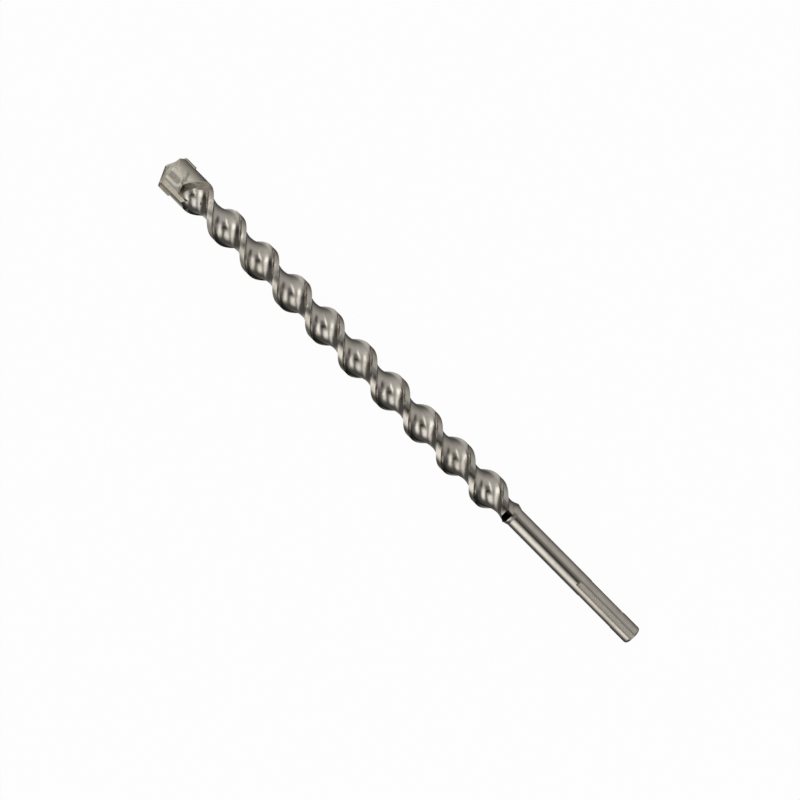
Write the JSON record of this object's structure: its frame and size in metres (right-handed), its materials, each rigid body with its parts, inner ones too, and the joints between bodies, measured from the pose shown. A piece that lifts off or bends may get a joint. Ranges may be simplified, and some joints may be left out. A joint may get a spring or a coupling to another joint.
{
  "type": "hammer drill bit",
  "caption": "Two-flute masonry hammer drill bit with a grooved quick-change shank and a brazed carbide plate in its head.",
  "frame": {"origin": "centre of the shank's flat end face, on the bit's axis of rotation", "axes": "+X along the axis towards the carbide tip, +Z square to the plate's broad faces, +Y completes the frame"},
  "size_m": [0.5836, 0.0354, 0.0326],
  "materials": {
    "bit_steel": "blasted and polished alloy steel, silver grey",
    "sintered_carbide": "ground tungsten carbide, warm grey"
  },
  "bodies": {
    "root": {"bit_body": "bit_steel", "carbide_plate": "sintered_carbide"}
  },
  "joints": []
}
